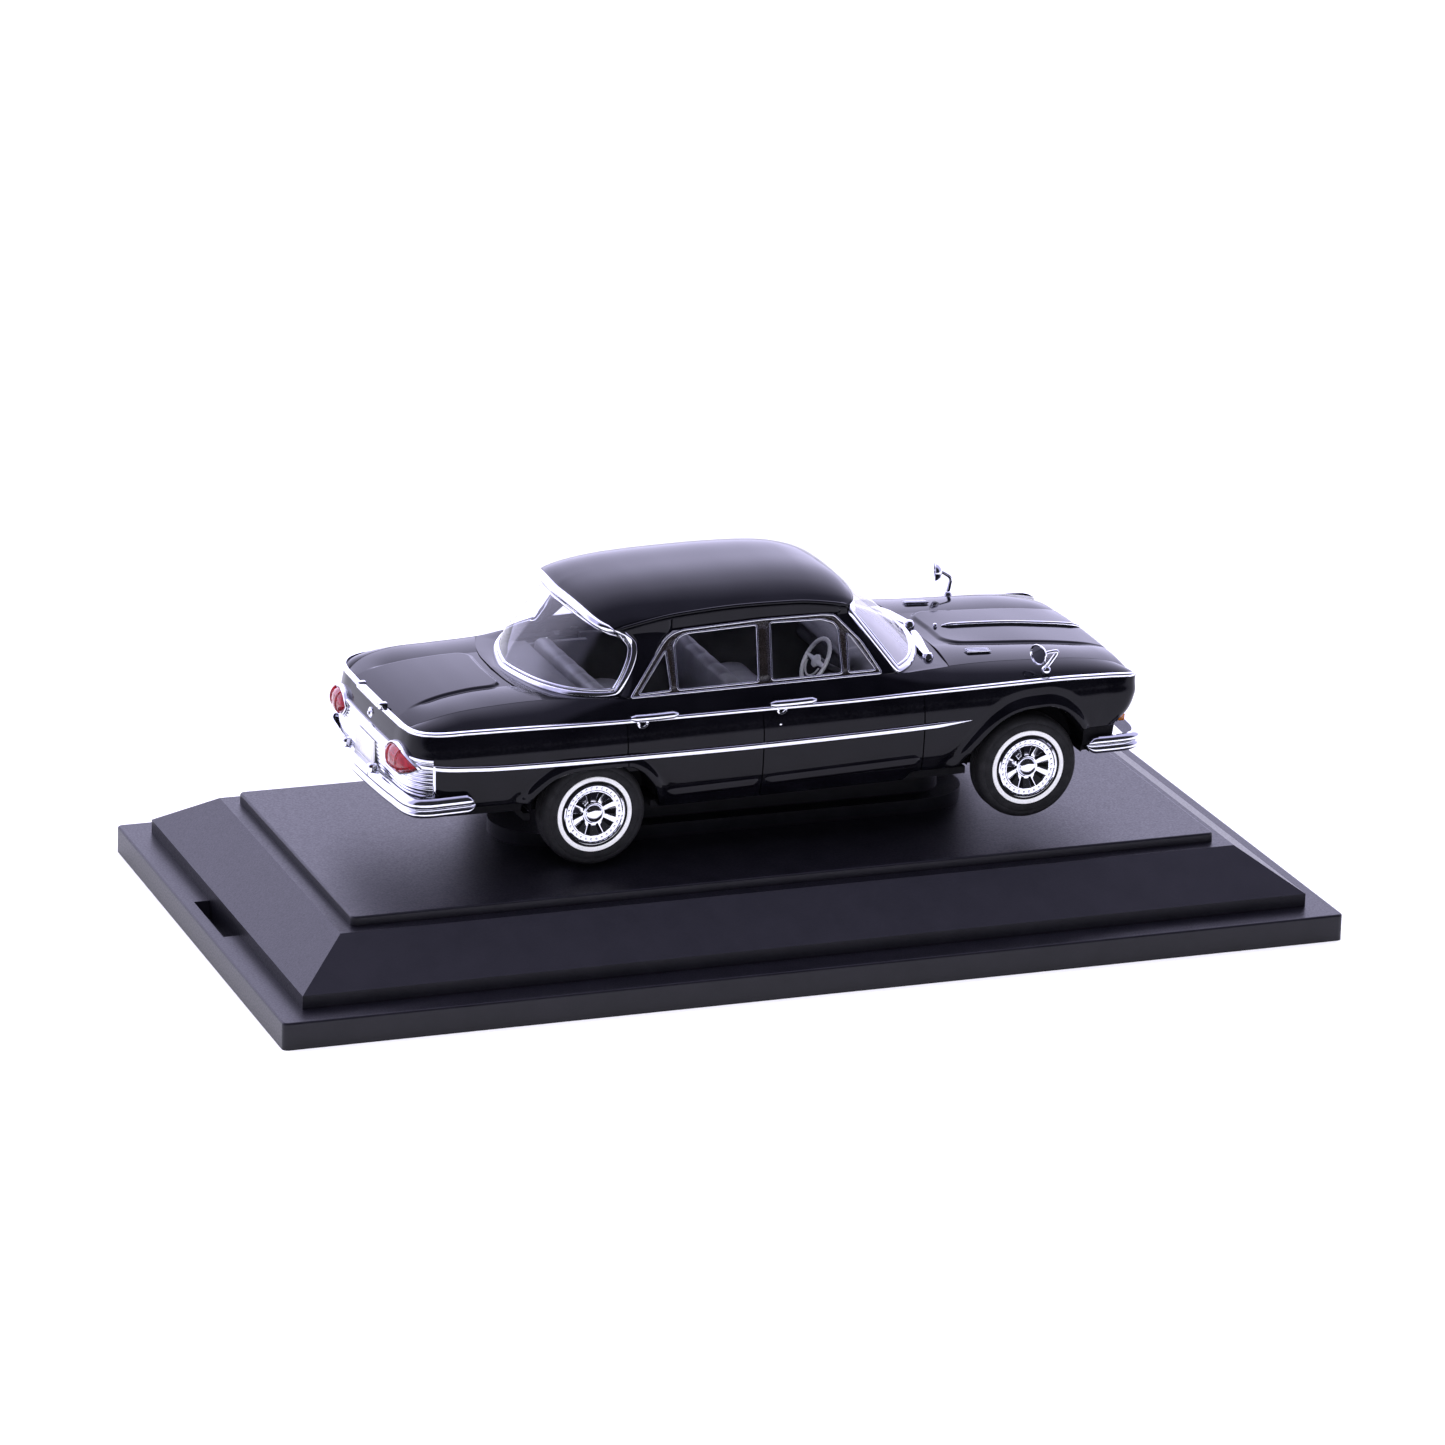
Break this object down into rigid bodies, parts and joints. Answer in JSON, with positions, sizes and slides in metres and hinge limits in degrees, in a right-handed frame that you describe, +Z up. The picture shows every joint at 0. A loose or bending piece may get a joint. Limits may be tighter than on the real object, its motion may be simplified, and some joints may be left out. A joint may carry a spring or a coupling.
{
  "type": "collector model car",
  "caption": "Small-scale black four-door saloon with bright trim and spinning wheels, screwed through an oval pad to a stepped rectangular display plinth.",
  "frame": {"origin": "centre of the plinth's underside, on the surface that it stands on", "axes": "+X along the plinth towards the car's nose, +Y to the car's left, +Z up"},
  "size_m": [0.15, 0.08, 0.0493],
  "materials": {
    "base_plastic": "satin black ABS with a fine moulded grain",
    "body_paint": "deep gloss black lacquer on die-cast zinc",
    "chrome": "bright plated plastic and foil",
    "clear_glazing": "thin clear polystyrene",
    "tyre_rubber": "matt black rubber",
    "white_rubber": "white printed sidewall band",
    "interior_plastic": "matt dark grey moulding",
    "seat_plastic": "matt grey moulding with ribbed upholstery relief",
    "wheel_plastic": "pale grey moulding",
    "chassis_black": "matt black moulding",
    "steel": "plain bright steel",
    "red_lens": "transparent red plastic",
    "amber_lens": "transparent amber plastic",
    "plate_white": "plain white enamel, left blank"
  },
  "bodies": {
    "display_base": {"plinth": "base_plastic", "stand_off_pad": "base_plastic", "base_screws": "steel", "chassis_plate": "chassis_black", "chassis_screws": "steel", "body_shell": "body_paint", "interior_tub": "interior_plastic", "front_bench_seat": "seat_plastic", "rear_bench_seat": "seat_plastic", "dashboard": "interior_plastic", "steering_column": "wheel_plastic", "steering_wheel": "wheel_plastic", "windscreen_glass": "clear_glazing", "rear_window_glass": "clear_glazing", "side_glass_left": "clear_glazing", "side_glass_right": "clear_glazing", "windscreen_surround": "chrome", "rear_window_surround": "chrome", "side_window_frame_left": "chrome", "side_window_frame_right": "chrome", "roof_rear_moulding": "chrome", "drip_rail_left": "chrome", "drip_rail_right": "chrome", "belt_moulding": "chrome", "side_moulding_left": "chrome", "side_moulding_right": "chrome", "door_handles": "chrome", "door_locks": "chrome", "hood_spear": "chrome", "hood_louvres": "body_paint", "wipers": "chrome", "fender_mirror_left": "chrome", "fender_mirror_right": "chrome", "grille": "chrome", "headlamp_bezels": "chrome", "headlamp_lenses": "clear_glazing", "front_signal_lamps": "amber_lens", "front_bumper": "chrome", "front_overriders": "chrome", "rear_bumper": "chrome", "rear_overriders": "chrome", "tail_panel": "chrome", "tail_lamp_lenses": "red_lens", "tail_lamp_bezels": "chrome", "front_licence_plate": "plate_white", "rear_licence_plate": "plate_white", "boot_handle": "chrome", "boot_lock": "chrome"},
    "front_axle_set": {"front_axle": "steel", "front_left_tyre": "tyre_rubber", "front_right_tyre": "tyre_rubber", "front_left_wheel_cover": "chrome", "front_right_wheel_cover": "chrome", "front_whitewalls": "white_rubber"},
    "rear_axle_set": {"rear_axle": "steel", "rear_left_tyre": "tyre_rubber", "rear_right_tyre": "tyre_rubber", "rear_left_wheel_cover": "chrome", "rear_right_wheel_cover": "chrome", "rear_whitewalls": "white_rubber"}
  },
  "joints": [
    {"name": "front_axle_spin", "type": "hinge", "parent": "display_base", "child": "front_axle_set", "pos_m": [0.03681, 0, 0.02111], "axis": [0, 1, 0], "continuous": true},
    {"name": "rear_axle_spin", "type": "hinge", "parent": "display_base", "child": "rear_axle_set", "pos_m": [-0.02552, 0, 0.02023], "axis": [0, 1, 0], "continuous": true}
  ]
}
